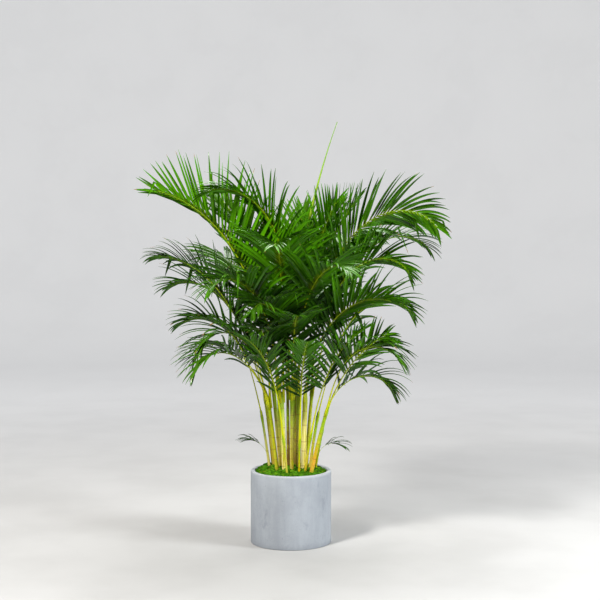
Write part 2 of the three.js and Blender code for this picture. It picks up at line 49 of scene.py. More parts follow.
cameraLook = {"place": (0.045, -6.58, 1.564), "tilt": 86.88, "lens": 80, "sensor": 36}
cameraData = bpy.data.cameras.new("camera")
cameraData.lens = cameraLook["lens"]
cameraData.sensor_width = cameraLook["sensor"]
camera = bpy.data.objects.new("camera", cameraData)
camera.location = cameraLook["place"]
camera.rotation_euler = (math.radians(cameraLook["tilt"]), 0, 0)
bpy.context.scene.collection.objects.link(camera)
bpy.context.scene.camera = camera

softboxes = {
    "keyLight": {"place": (-2.4, -3.2, 4.2), "aim": (0, 0, 1.3), "size": 0.9, "power": 380, "tint": (1, 0.98, 0.95)},
    "fillLight": {"place": (4.2, -1.9, 2.2), "aim": (0, 0, 0.8), "size": 1.4, "power": 240, "tint": (0.95, 0.98, 1)},
    "topLight": {"place": (0.5, 1.4, 3.9), "aim": (0, 0, 1.2), "size": 2.4, "power": 130, "tint": (1, 1, 1)},
}
for name, box in softboxes.items():
    lampData = bpy.data.lights.new(name, "AREA")
    lampData.size = box["size"]
    lampData.energy = box["power"]
    lampData.color = box["tint"]
    lamp = bpy.data.objects.new(name, lampData)
    lamp.location = box["place"]
    lamp.rotation_euler = (Vector(box["aim"]) - Vector(box["place"])).to_track_quat("-Z", "Y").to_euler()
    bpy.context.scene.collection.objects.link(lamp)

# the room is paler to look at than it is bright, so that the foliage keeps its depth
worldLook = {"seen": (0.72, 0.735, 0.76, 1), "seenPower": 1.0, "glow": (0.86, 0.92, 1.0, 1), "glowPower": 0.1}
world = bpy.data.worlds.new("studio")
bpy.context.scene.world = world
world.use_nodes = True
worldNodes = world.node_tree.nodes
worldLinks = world.node_tree.links
worldNodes.clear()
seenRoom = worldNodes.new("ShaderNodeBackground")
seenRoom.inputs["Color"].default_value = worldLook["seen"]
seenRoom.inputs["Strength"].default_value = worldLook["seenPower"]
roomGlow = worldNodes.new("ShaderNodeBackground")
roomGlow.inputs["Color"].default_value = worldLook["glow"]
roomGlow.inputs["Strength"].default_value = worldLook["glowPower"]
roomRay = worldNodes.new("ShaderNodeLightPath")
roomMix = worldNodes.new("ShaderNodeMixShader")
roomOut = worldNodes.new("ShaderNodeOutputWorld")
worldLinks.new(roomRay.outputs["Is Camera Ray"], roomMix.inputs["Fac"])
worldLinks.new(roomGlow.outputs[0], roomMix.inputs[1])
worldLinks.new(seenRoom.outputs[0], roomMix.inputs[2])
worldLinks.new(roomMix.outputs[0], roomOut.inputs["Surface"])
bpy.context.scene.view_settings.view_transform = "Standard"
print("camera and lights placed")


# material tools

def addNode(tree, kind, **values):
    node = tree.nodes.new("ShaderNode" + kind)
    for key, value in values.items():
        setattr(node, key, value)
    return node


def feed(tree, node, socket, value):
    # a socket takes another node's output or a fixed value
    if isinstance(value, bpy.types.NodeSocket):
        tree.links.new(value, node.inputs[socket])
    else:
        node.inputs[socket].default_value = value


def mathOf(tree, kind, first, second=0.5, clamp=False):
    node = addNode(tree, "Math", operation=kind, use_clamp=clamp)
    feed(tree, node, 0, first)
    feed(tree, node, 1, second)
    return node.outputs[0]


def timesOf(tree, first, second, clamp=False):
    return mathOf(tree, "MULTIPLY", first, second, clamp)


def sumOf(tree, first, second, clamp=False):
    return mathOf(tree, "ADD", first, second, clamp)


def blendColour(tree, amount, under, over, kind="MIX"):
    node = addNode(tree, "Mix", data_type="RGBA", blend_type=kind)
    feed(tree, node, 0, amount)
    feed(tree, node, 6, under)
    feed(tree, node, 7, over)
    return node.outputs[2]


def rangeOf(tree, value, low, high, newLow=0.0, newHigh=1.0):
    node = addNode(tree, "MapRange", clamp=True, interpolation_type="SMOOTHSTEP")
    feed(tree, node, "Value", value)
    feed(tree, node, "From Min", low)
    feed(tree, node, "From Max", high)
    feed(tree, node, "To Min", newLow)
    feed(tree, node, "To Max", newHigh)
    return node.outputs["Result"]


def objectSpot(tree, scale=(1, 1, 1)):
    place = addNode(tree, "TexCoord")
    mapping = addNode(tree, "Mapping")
    feed(tree, mapping, "Vector", place.outputs["Object"])
    feed(tree, mapping, "Scale", scale)
    return mapping.outputs[0]


def noiseOf(tree, spot, scale, detail=3.0, rough=0.5):
    node = addNode(tree, "TexNoise")
    feed(tree, node, "Vector", spot)
    feed(tree, node, "Scale", scale)
    feed(tree, node, "Detail", detail)
    feed(tree, node, "Roughness", rough)
    return node.outputs["Fac"]


def markOf(tree, name):
    return addNode(tree, "Attribute", attribute_name=name).outputs["Fac"]


def newMaterial(name, settings):
    # a Principled finish whose fixed values sit on its own sockets
    finish = bpy.data.materials.new(name)
    finish.use_nodes = True
    tree = finish.node_tree
    shader = tree.nodes["Principled BSDF"]
    for socket, value in settings.items():
        shader.inputs[socket].default_value = value
    return finish, tree, shader


def addBump(tree, shader, height, strength, distance):
    bump = addNode(tree, "Bump")
    feed(tree, bump, "Height", height)
    feed(tree, bump, "Strength", strength)
    feed(tree, bump, "Distance", distance)
    feed(tree, shader, "Normal", bump.outputs[0])


def groupNode(tree, group, **values):
    node = tree.nodes.new("ShaderNodeGroup")
    node.node_tree = group
    for key, value in values.items():
        feed(tree, node, key, value)
    return node


def newGroup(name, takes, gives):
    group = bpy.data.node_groups.new(name, "ShaderNodeTree")
    for label, value in takes.items():
        socket = group.interface.new_socket(label, in_out="INPUT", socket_type="NodeSocketFloat")
        socket.default_value = value
    for label in gives:
        group.interface.new_socket(label, in_out="OUTPUT", socket_type="NodeSocketFloat")
    return group, group.nodes.new("NodeGroupInput"), group.nodes.new("NodeGroupOutput")


# fine strands that run up a stem, a cane or the spear
fibreGroup, fibreIn, fibreOut = newGroup("plantFibre", {"Fineness": 900.0, "Stretch": 0.04}, ["Strand", "Patch"])
fibrePlace = addNode(fibreGroup, "TexCoord")
fibreSplit = addNode(fibreGroup, "SeparateXYZ")
fibreJoin = addNode(fibreGroup, "CombineXYZ")
feed(fibreGroup, fibreSplit, 0, fibrePlace.outputs["Object"])
feed(fibreGroup, fibreJoin, 0, fibreSplit.outputs[0])
feed(fibreGroup, fibreJoin, 1, fibreSplit.outputs[1])
feed(fibreGroup, fibreJoin, 2, mathOf(fibreGroup, "MULTIPLY", fibreSplit.outputs[2], fibreIn.outputs["Stretch"]))
feed(fibreGroup, fibreOut, "Strand", noiseOf(fibreGroup, fibreJoin.outputs[0], fibreIn.outputs["Fineness"], 3))
fibreWide = mathOf(fibreGroup, "MULTIPLY", fibreIn.outputs["Fineness"], 0.12)
feed(fibreGroup, fibreOut, "Patch", noiseOf(fibreGroup, fibreJoin.outputs[0], fibreWide, 3))

# small round marks scattered over a surface, each with its own chance of being there
speckGroup, speckIn, speckOut = newGroup("specks", {"Scale": 300.0, "Size": 0.3, "Share": 0.4}, ["Mask"])
speckCell = addNode(speckGroup, "TexVoronoi")
feed(speckGroup, speckCell, "Vector", objectSpot(speckGroup))
feed(speckGroup, speckCell, "Scale", speckIn.outputs["Scale"])
speckNear = mathOf(speckGroup, "LESS_THAN", speckCell.outputs["Distance"], speckIn.outputs["Size"])
speckPick = addNode(speckGroup, "SeparateColor")
feed(speckGroup, speckPick, 0, speckCell.outputs["Color"])
speckThere = mathOf(speckGroup, "LESS_THAN", speckPick.outputs[0], speckIn.outputs["Share"])
feed(speckGroup, speckOut, "Mask", mathOf(speckGroup, "MULTIPLY", speckNear, speckThere))


# mesh tools

def keep(bm, name, finishes, nodeNames):
    # the finished piece: at the origin, riding on the one body, standing for its CAD nodes
    mesh = bpy.data.meshes.new(name)
    bm.to_mesh(mesh)
    bm.free()
    for finish in finishes:
        mesh.materials.append(finish)
    piece = bpy.data.objects.new(name, mesh)
    bpy.context.scene.collection.objects.link(piece)
    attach(piece, "root")
    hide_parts(*nodeNames)


def shadeSmooth(bm):
    for face in bm.faces:
        face.smooth = True


def spinProfile(bm, profile, steps):
    # a full turn about the upright axis of a line of corners, each a radius and a height
    line = [bm.verts.new((radius, 0, level)) for radius, level in profile]
    chain = [bm.edges.new(pair) for pair in zip(line, line[1:])]
    bmesh.ops.spin(
        bm, geom=line + chain, cent=(0, 0, 0), axis=(0, 0, 1), angle=2 * math.pi, steps=steps, use_merge=True
    )
    bmesh.ops.remove_doubles(bm, verts=bm.verts, dist=1e-5)
    bmesh.ops.recalc_face_normals(bm, faces=bm.faces)


def marksOf(bm, names):
    return {name: bm.verts.layers.float.new(name) for name in names}


def tube(bm, rings, sides, cornerMark, place, mark):
    # a ring of corners, extruded from ring to ring; place puts a corner, mark writes its values
    made = bmesh.ops.create_circle(bm, cap_ends=True, segments=sides, radius=1)
    corners = made["verts"]
    for index, vert in enumerate(corners):
        vert[cornerMark] = index
    edges = [edge for edge in bm.edges if all(vert in corners for vert in edge.verts)]
    for index, ring in enumerate(rings):
        if index:
            grown = bmesh.ops.extrude_edge_only(bm, edges=edges)["geom"]
            corners = [part for part in grown if isinstance(part, bmesh.types.BMVert)]
            newEdges = [part for part in grown if isinstance(part, bmesh.types.BMEdge)]
            edges = [edge for edge in newEdges if all(vert in corners for vert in edge.verts)]
        for vert in corners:
            vert.co = place(ring, vert[cornerMark] / sides * 2 * math.pi)
            mark(vert, ring, vert[cornerMark] / sides * 2 * math.pi)
    bmesh.ops.edgeloop_fill(bm, edges=edges)


def heading(out, lean):
    # unit vector a given lean away from upright, towards a compass angle in the floor plane
    out, lean = math.radians(out), math.radians(lean)
    return Vector((math.sin(lean) * math.cos(out), math.sin(lean) * math.sin(out), math.cos(lean)))


def runOf(start, length, steps, out, leanAt):
    # a line of points from start, whose lean changes along it
    spots = [start.copy()]
    for step in range(steps):
        spots.append(spots[-1] + heading(out, leanAt((step + 0.5) / steps)) * (length / steps))
    return spots


def alongRun(spots, share):
    place = min(max(share, 0), 1) * (len(spots) - 1)
    low = min(int(place), len(spots) - 2)
    return spots[low].lerp(spots[low + 1], place - low)


def acrossOf(out, lean):
    # sideways and upward directions of a stalk
    side = Vector((-math.sin(math.radians(out)), math.cos(math.radians(out)), 0))
    return side, heading(out, lean).cross(side)


def lerp(low, high, share):
    return low + (high - low) * share


def smoothStep(value, low, high):
    share = min(max((value - low) / (high - low), 0), 1)
    return share * share * (3 - 2 * share)


# floor, which curves up into a wall far behind the palm on every side

floorLook = {
    "flat": 9,
    "sweep": 2.5,
    "sweepSteps": 12,
    "wall": 7,
    "sides": 96,
    "colour": (0.50, 0.495, 0.485, 1),
    "worn": (0.45, 0.445, 0.435, 1),
    "seen": (0.52, 0.525, 0.535, 1),
    "seenFrom": 0.3,
    "seenFull": 6.5,
}
floorFinish, tree, shader = newMaterial("paleFloor", {"Roughness": 0.8, "Specular IOR Level": 0.1})
cloud = noiseOf(tree, objectSpot(tree), 1.6, 5)
paleFloor = blendColour(tree, rangeOf(tree, cloud, 0.35, 0.7), floorLook["colour"], floorLook["worn"])
feed(tree, shader, "Base Color", paleFloor)

# far from the palm the floor is paler to look at than it is lit, as the room is
floorPlace = addNode(tree, "TexCoord")
floorReach = addNode(tree, "VectorMath", operation="LENGTH")
feed(tree, floorReach, 0, floorPlace.outputs["Object"])
farOff = rangeOf(tree, floorReach.outputs["Value"], floorLook["seenFrom"], floorLook["seenFull"])
feed(tree, shader, "Emission Color", blendColour(tree, farOff, (0, 0, 0, 1), floorLook["seen"]))
feed(tree, shader, "Emission Strength", addNode(tree, "LightPath").outputs["Is Camera Ray"])

bm = bmesh.new()
profile = [(0, 0), (floorLook["flat"] * 0.5, 0)]
for step in range(floorLook["sweepSteps"] + 1):
    turn = step / floorLook["sweepSteps"] * math.pi / 2
    reach = floorLook["flat"] + floorLook["sweep"] * math.sin(turn)
    profile.append((reach, floorLook["sweep"] * (1 - math.cos(turn))))
profile.append((floorLook["flat"] + floorLook["sweep"], floorLook["wall"]))
spinProfile(bm, profile, floorLook["sides"])
shadeSmooth(bm)
floorMesh = bpy.data.meshes.new("floor")
bm.to_mesh(floorMesh)
bm.free()
floorMesh.materials.append(floorFinish)
floor = bpy.data.objects.new("floor", floorMesh)
bpy.context.scene.collection.objects.link(floor)


# planter

planterLook = {
    "radius": 200 * mm,
    "height": 360 * mm,
    "rimWall": 20 * mm,
    "footWall": 26 * mm,
    "floor": 25 * mm,
    "edge": 4 * mm,
    "sides": 192,
    "pale": (0.37, 0.40, 0.435, 1),
    "mid": (0.30, 0.325, 0.36, 1),
    "dark": (0.21, 0.23, 0.262, 1),
    "fleck": (0.62, 0.64, 0.66, 1),
    "pore": (0.12, 0.125, 0.135, 1),
    "bloom": (0.58, 0.60, 0.63, 1),
    "footShadeTo": 50 * mm,
    "bloomFrom": 336 * mm,
    "swell": 0.5 * mm,
    "ripple": 0.15 * mm,
    "chip": 5 * mm,
}
planterFinish, tree, shader = newMaterial("castConcrete", {"Roughness": 0.82, "Specular IOR Level": 0.3})
clouds = noiseOf(tree, objectSpot(tree), 5.5, 6, 0.6)
streaks = noiseOf(tree, objectSpot(tree, (1, 1, 0.13)), 26, 4, 0.6)
mottle = noiseOf(tree, objectSpot(tree), 70, 5, 0.65)
grain = noiseOf(tree, objectSpot(tree), 900, 2, 0.6)
tone = sumOf(tree, timesOf(tree, clouds, 0.55), timesOf(tree, streaks, 0.3))
tone = sumOf(tree, tone, timesOf(tree, mottle, 0.15))
colour = blendColour(tree, rangeOf(tree, tone, 0.36, 0.64), planterLook["mid"], planterLook["pale"])
stain = rangeOf(tree, noiseOf(tree, objectSpot(tree, (1, 1, 0.6)), 11, 5, 0.7), 0.56, 0.74, 0, 0.55)
colour = blendColour(tree, stain, colour, planterLook["dark"])
fleck = groupNode(tree, speckGroup, Scale=420.0, Size=0.22, Share=0.35).outputs["Mask"]
colour = blendColour(tree, timesOf(tree, fleck, 0.25), colour, planterLook["fleck"])
pore = groupNode(tree, speckGroup, Scale=130.0, Size=0.13, Share=0.16).outputs["Mask"]
bigPore = groupNode(tree, speckGroup, Scale=48.0, Size=0.08, Share=0.14).outputs["Mask"]
holes = mathOf(tree, "MAXIMUM", pore, bigPore)
colour = blendColour(tree, timesOf(tree, holes, 0.75), colour, planterLook["pore"])
place = addNode(tree, "TexCoord")
height = addNode(tree, "SeparateXYZ")
feed(tree, height, 0, place.outputs["Object"])
# painted shade: the planter's colour is darker towards its foot, where it meets the floor
footShadeLevel = sumOf(tree, height.outputs[2], timesOf(tree, mottle, 0.03))
footShade = rangeOf(tree, footShadeLevel, 0.012, planterLook["footShadeTo"], 0.4, 0)
colour = blendColour(tree, footShade, colour, planterLook["dark"])
bloomLevel = sumOf(tree, height.outputs[2], timesOf(tree, clouds, -0.02))
bloom = rangeOf(tree, bloomLevel, planterLook["bloomFrom"], 0.352, 0, 0.45)
colour = blendColour(tree, bloom, colour, planterLook["bloom"])
feed(tree, shader, "Base Color", blendColour(tree, 0.12, colour, grain, "OVERLAY"))
feed(tree, shader, "Roughness", rangeOf(tree, mottle, 0.3, 0.7, 0.72, 0.92))
relief = sumOf(tree, timesOf(tree, grain, 0.25), timesOf(tree, mottle, 0.5))
relief = mathOf(tree, "SUBTRACT", relief, timesOf(tree, holes, 1.4))
addBump(tree, shader, relief, 0.5, 0.0012)

bm = bmesh.new()
outerWall, top = planterLook["radius"], planterLook["height"]
innerRim = outerWall - planterLook["rimWall"]
innerFoot = outerWall - planterLook["footWall"]
profile = [(0, 0), (outerWall * 0.5, 0)]
profile += [(outerWall, top * share) for share in (0, 0.25, 0.5, 0.75, 1)]
profile += [(innerRim, top), (innerRim - 1 * mm, top - 60 * mm)]
profile += [(innerFoot, planterLook["floor"]), (0, planterLook["floor"])]
spinProfile(bm, profile, planterLook["sides"])
corners = []
for edge in bm.edges:
    one, two = edge.verts
    flat = abs(one.co.z - two.co.z) < 1e-6 and abs(one.co.xy.length - two.co.xy.length) < 1e-6
    sharp = flat and any(
        abs(one.co.xy.length - radius) < 1e-5 and abs(one.co.z - level) < 1e-5
        for radius, level in [(outerWall, 0), (outerWall, top), (innerRim, top)]
    )
    if sharp:
        corners.append(edge)
bmesh.ops.bevel(
    bm, geom=corners, offset=planterLook["edge"], offset_type="OFFSET", segments=5, profile=0.5,
    affect="EDGES", material=-1,
)

# cast walls are never quite true, and the rim has small chips
for vert in bm.verts:
    if vert.co.xy.length > innerFoot - 5 * mm and vert.co.z > 1 * mm:
        away = Vector((vert.co.x, vert.co.y, 0)).normalized()
        swell = noise.noise(vert.co * 9) * planterLook["swell"]
        vert.co += away * (swell + noise.noise(vert.co * 60) * planterLook["ripple"])
        if vert.co.z > top - 6 * mm:
            vert.co.z -= max(0, noise.noise(vert.co * 95) - 0.34) * planterLook["chip"]
shadeSmooth(bm)
keep(bm, "concretePlanter", [planterFinish], ["planter"])
print("planter made")


# nursery pot and root ball keep their CAD shapes under the moss

potLook = {"dark": (0.012, 0.012, 0.013, 1), "scuffed": (0.04, 0.04, 0.04, 1)}
potFinish, tree, shader = newMaterial("blackNurseryPlastic", {"Roughness": 0.55})
scuff = noiseOf(tree, objectSpot(tree, (1, 1, 0.2)), 60, 4)
colour = blendColour(tree, rangeOf(tree, scuff, 0.4, 0.7), potLook["dark"], potLook["scuffed"])
feed(tree, shader, "Base Color", colour)
feed(tree, shader, "Roughness", rangeOf(tree, scuff, 0.3, 0.7, 0.45, 0.7))
addBump(tree, shader, scuff, 0.3, 0.0006)

soilLook = {"dark": (0.012, 0.008, 0.005, 1), "light": (0.07, 0.045, 0.028, 1), "bark": (0.25, 0.19, 0.12, 1)}
soilFinish, tree, shader = newMaterial("pottingSoil", {"Roughness": 0.95, "Specular IOR Level": 0.2})
crumb = noiseOf(tree, objectSpot(tree), 130, 6, 0.7)
bark = groupNode(tree, speckGroup, Scale=180.0, Size=0.3, Share=0.12).outputs["Mask"]
colour = blendColour(tree, rangeOf(tree, crumb, 0.35, 0.7), soilLook["dark"], soilLook["light"])
feed(tree, shader, "Base Color", blendColour(tree, bark, colour, soilLook["bark"]))
addBump(tree, shader, crumb, 0.9, 0.003)

for nodeName, finish in [("nursery_pot", potFinish), ("root_ball", soilFinish)]:
    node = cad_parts[nodeName]
    node.data.materials.clear()
    node.data.materials.append(finish)
print("nursery pot and root ball given their finishes")


# moss

mossLook = {
    "radius": 177.5 * mm,
    "under": 330.3 * mm,
    "edge": 351 * mm,
    "rise": 20 * mm,
    "heap": 14 * mm,
    "rings": 26,
    "sides": 128,
    "clumps": 620,
    "clumpSizes": (5 * mm, 12 * mm),
    "strands": 7000,
    "strandLengths": (4 * mm, 9 * mm),
    "strandFoot": 0.9 * mm,
    "strandTip": 0.15 * mm,
    "batches": 10,
    "seed": 11,
    "deep": (0.006, 0.045, 0.001, 1),
    "green": (0.07, 0.26, 0.003, 1),
    "yellow": (0.20, 0.38, 0.006, 1),
    "shade": (0.008, 0.020, 0.002, 1),
    "tan": (0.42, 0.20, 0.02, 1),
    "light": (0.12, 0.28, 0.006, 1),
}
mossFinish, tree, shader = newMaterial("sheetMoss", {"Roughness": 0.9, "Specular IOR Level": 0.1})
patch = noiseOf(tree, objectSpot(tree), 38, 5, 0.6)
tuft = noiseOf(tree, objectSpot(tree), 260, 4, 0.6)
colour = blendColour(tree, rangeOf(tree, tuft, 0.35, 0.65), mossLook["deep"], mossLook["green"])
colour = blendColour(tree, rangeOf(tree, patch, 0.5, 0.68, 0, 0.55), colour, mossLook["yellow"])
colour = blendColour(tree, rangeOf(tree, patch, 0.28, 0.4, 0.65, 0), colour, mossLook["shade"])
tan = groupNode(tree, speckGroup, Scale=110.0, Size=0.28, Share=0.09).outputs["Mask"]
colour = blendColour(tree, timesOf(tree, tan, 0.8), colour, mossLook["tan"])
colour = blendColour(tree, timesOf(tree, markOf(tree, "tone"), 0.4), colour, mossLook["light"])
feed(tree, shader, "Base Color", colour)
addBump(tree, shader, tuft, 0.8, 0.003)


def mossHeight(x, y):
    # a low uneven mound, heaped a little higher at its back left
    reach = min(math.hypot(x, y) / mossLook["radius"], 1)
    level = mossLook["edge"] + mossLook["rise"] * (1 - reach ** 2.4)
    level += mossLook["heap"] * smoothStep(-x * 0.5 + y * 0.85, 0.02, 0.13) * (1 - reach ** 9)
    return level + noise.noise(Vector((x, y, 0)) * 30) * 10 * mm + noise.noise(Vector((x, y, 3)) * 90) * 5 * mm


def mossSpot(reach):
    # a random place in a circle, evenly spread, as shares of the moss's radius
    out = math.sqrt(random.random()) * reach
    turn = random.uniform(0, 2 * math.pi)
    return out * math.cos(turn), out * math.sin(turn)


random.seed(mossLook["seed"])
bm = bmesh.new()
marksOf(bm, ["tone"])
profile = [(0, mossLook["under"]), (mossLook["radius"], mossLook["under"])]
for ring in range(mossLook["rings"] + 1):
    profile.append((mossLook["radius"] * (1 - ring / mossLook["rings"]), mossLook["edge"]))
spinProfile(bm, profile, mossLook["sides"])
for vert in bm.verts:
    if vert.co.z > mossLook["under"] + mm:
        vert.co.z = mossHeight(vert.co.x, vert.co.y) - 2.5 * mm
shadeSmooth(bm)
keep(bm, "mossMound", [mossFinish], ["moss_top"])

bm = bmesh.new()
marks = marksOf(bm, ["tone"])
for index in range(mossLook["clumps"]):
    shareX, shareY = mossSpot(0.965)
    size = random.uniform(*mossLook["clumpSizes"])
    x, y = (mossLook["radius"] - size * 0.6) * shareX, (mossLook["radius"] - size * 0.6) * shareY
    level = mossHeight(x, y)
    tone = random.random() ** 2
    clump = bmesh.ops.create_icosphere(bm, subdivisions=2, radius=size)["verts"]
    for vert in clump:
        bump = 1 + 0.5 * noise.noise(vert.co * 150 + Vector((index, 0, 0)))
        vert.co = Vector((vert.co.x * bump + x, vert.co.y * bump + y, vert.co.z * bump * 0.55 + level - 1 * mm))
        vert[marks["tone"]] = tone
shadeSmooth(bm)
keep(bm, "mossClumps", [mossFinish], [])

# the strands are made in batches, because each new cone costs more as the mesh grows
batches = []
for batch in range(mossLook["batches"]):
    bm = bmesh.new()
    marks = marksOf(bm, ["tone"])
    for index in range(mossLook["strands"] // mossLook["batches"]):
        shareX, shareY = mossSpot(0.985)
        x, y = mossLook["radius"] * shareX, mossLook["radius"] * shareY
        level = mossHeight(x, y)
        way = Vector((random.gauss(0, 0.55), random.gauss(0, 0.55), random.uniform(0.5, 1))).normalized()
        long = random.uniform(*mossLook["strandLengths"])
        tone = random.random() ** 2
        turnTo = way.to_track_quat("Z", "X")
        strand = bmesh.ops.create_cone(
            bm, cap_ends=True, segments=3, depth=long,
            radius1=mossLook["strandFoot"], radius2=mossLook["strandTip"],
        )
        for vert in strand["verts"]:
            vert.co = turnTo @ vert.co + Vector((x, y, level + 1.5 * mm))
            vert[marks["tone"]] = tone
    mesh = bpy.data.meshes.new("strands")
    bm.to_mesh(mesh)
    bm.free()
    batches.append(mesh)
bm = bmesh.new()
marksOf(bm, ["tone"])
for mesh in batches:
    bm.from_mesh(mesh)
    bpy.data.meshes.remove(mesh)
keep(bm, "mossStrands", [mossFinish], [])
print("moss made")


# canes

# lengths are in millimetres
caneLook = {
    "soilRadius": 166.6,
    "foot": 330.3,
    "sides": 20,
    "bends": 24,
    "rings": 40,
    "crown": 46,
    "swell": 3.5,
    "firstJoint": (30, 60),
    "jointGap": (38, 74),
    "seed": 5,
    "yellow": (0.42, 0.46, 0.001, 1),
    "green": (0.22, 0.40, 0.001, 1),
    "orange": (0.66, 0.28, 0.003, 1),
    "wax": (0.84, 0.74, 0.27, 1),
    "brown": (0.17, 0.085, 0.03, 1),
    "scar": (0.27, 0.14, 0.04, 1),
    "speck": (0.16, 0.06, 0.025, 1),
}
# x and y are the foot as a share of the soil's radius, bow is how much the lean grows by the top, and wax, warm
# and age say how much white bloom, orange and old brown skin a cane shows
caneColumns = ("x", "y", "out", "lean", "bow", "long", "radius", "wax", "warm", "age")
caneRows = {
    "a": (-0.62, 0.19, 175, 7, 3, 330, 6, 0.5, 0.2, 0.1),
    "b": (-0.5, 0.34, 160, 6, 3, 420, 9, 0.3, 0.9, 0.1),
    "c": (-0.39, -0.19, 190, 6, 2, 400, 9, 0.1, 0.2, 0),
    "d": (-0.28, 0.12, 180, 5, 1, 480, 10, 0.4, 0.8, 0.05),
    "e": (-0.18, -0.31, 230, 3, 1, 430, 11, 0.7, 0.5, 0.05),
    "f": (0.03, -0.24, 270, 1, 1, 440, 10, 0.35, 0.35, 0.35),
    "g": (0.22, 0.02, 60, 0, 1, 460, 11, 0.6, 1, 0.2),
    "h": (0.37, -0.05, 30, 1, 1, 420, 12, 1, 0.6, 0.1),
    "i": (0.54, -0.08, 0, 6, 5, 330, 7, 0.2, 0.7, 0.15),
    "j": (0.57, -0.46, 340, 12, 5, 380, 9, 0.1, 1, 0),
    "k": (0.7, 0.08, 10, 9, 3, 260, 6, 0, 0.1, 0),
    "l": (-0.08, 0.21, 100, 2, 2, 470, 8, 0.1, 0.4, 0.95),
    "m": (0.14, 0.29, 80, 2, 2, 450, 8, 0.1, 0.4, 0.8),
    "n": (-0.27, 0.52, 120, 4, 3, 460, 9, 0.3, 0.5, 0.1),
    "o": (0.12, 0.62, 90, 5, 3, 450, 9, 0.4, 0.5, 0.1),
    "p": (0.45, 0.48, 50, 5, 4, 440, 9, 0.2, 0.4, 0.1),
    "q": (0.24, -0.52, 280, 4, 8, 210, 5, 0, 0.8, 0),
    "r": (-0.1, -0.62, 225, 6, 4, 230, 5, 0.2, 0.4, 0),
    "s": (0.4, -0.42, 330, 8, 4, 240, 6, 0.1, 0.6, 0),
}
canePlaces = {name: dict(zip(caneColumns, row)) for name, row in caneRows.items()}

caneFinish, tree, shader = newMaterial(
    "arecaCane", {"Roughness": 0.42, "Specular IOR Level": 0.2, "Specular Tint": (1, 0.95, 0.4, 1)}
)
fibre = groupNode(tree, fibreGroup, Fineness=1100.0, Stretch=0.03)
strand, streak = fibre.outputs["Strand"], fibre.outputs["Patch"]
along = markOf(tree, "along")
blotch = noiseOf(tree, objectSpot(tree, (1, 1, 0.45)), 60, 4, 0.65)
toneShift = timesOf(tree, mathOf(tree, "SUBTRACT", markOf(tree, "tone"), 0.5), 0.5)
greening = sumOf(tree, along, toneShift)
colour = blendColour(tree, rangeOf(tree, greening, 0.3, 1.0), caneLook["yellow"], caneLook["green"])
low = rangeOf(tree, along, 0.05, 0.75, 1, 0.08)
warmth = timesOf(tree, timesOf(tree, markOf(tree, "warm"), low), rangeOf(tree, blotch, 0.32, 0.6))
colour = blendColour(tree, warmth, colour, caneLook["orange"])
bloomed = rangeOf(tree, sumOf(tree, streak, timesOf(tree, blotch, 0.4)), 0.5, 0.85)
bloomed = timesOf(tree, bloomed, markOf(tree, "wax"))
bloomed = timesOf(tree, bloomed, rangeOf(tree, along, 0.3, 0.95, 1.3, 0.2))
colour = blendColour(tree, timesOf(tree, bloomed, 1, True), colour, caneLook["wax"])
agedSkin = rangeOf(tree, sumOf(tree, blotch, timesOf(tree, along, -0.25)), 0.2, 0.5)
colour = blendColour(tree, timesOf(tree, markOf(tree, "age"), agedSkin), colour, caneLook["brown"])
scar = markOf(tree, "scar")
colour = blendColour(tree, timesOf(tree, scar, 0.8), colour, caneLook["scar"])
speck = groupNode(tree, speckGroup, Scale=330.0, Size=0.3, Share=0.13).outputs["Mask"]
lowSpeck = timesOf(tree, timesOf(tree, speck, low), 0.75)
colour = blendColour(tree, lowSpeck, colour, caneLook["speck"])
feed(tree, shader, "Base Color", blendColour(tree, 0.35, colour, strand, "OVERLAY"))
feed(tree, shader, "Roughness", rangeOf(tree, bloomed, 0, 0.8, 0.36, 0.66))
addBump(tree, shader, sumOf(tree, strand, timesOf(tree, blotch, 0.6)), 0.35, 0.0006)


def caneLean(cane):
    return lambda share: cane["lean"] + cane["bow"] * share


def caneRadius(cane, share):
    crownShare = 1 - caneLook["crown"] / cane["long"]
    swell = caneLook["swell"] * smoothStep(share, crownShare - 0.08, crownShare + 0.04)
    return (cane["radius"] * (1.12 - 0.2 * share) + swell) * mm


caneRuns = {}
for key, cane in canePlaces.items():
    foot = Vector((cane["x"] * caneLook["soilRadius"], cane["y"] * caneLook["soilRadius"], caneLook["foot"])) * mm
    caneRuns[key] = runOf(foot, cane["long"] * mm, caneLook["bends"], cane["out"], caneLean(cane))

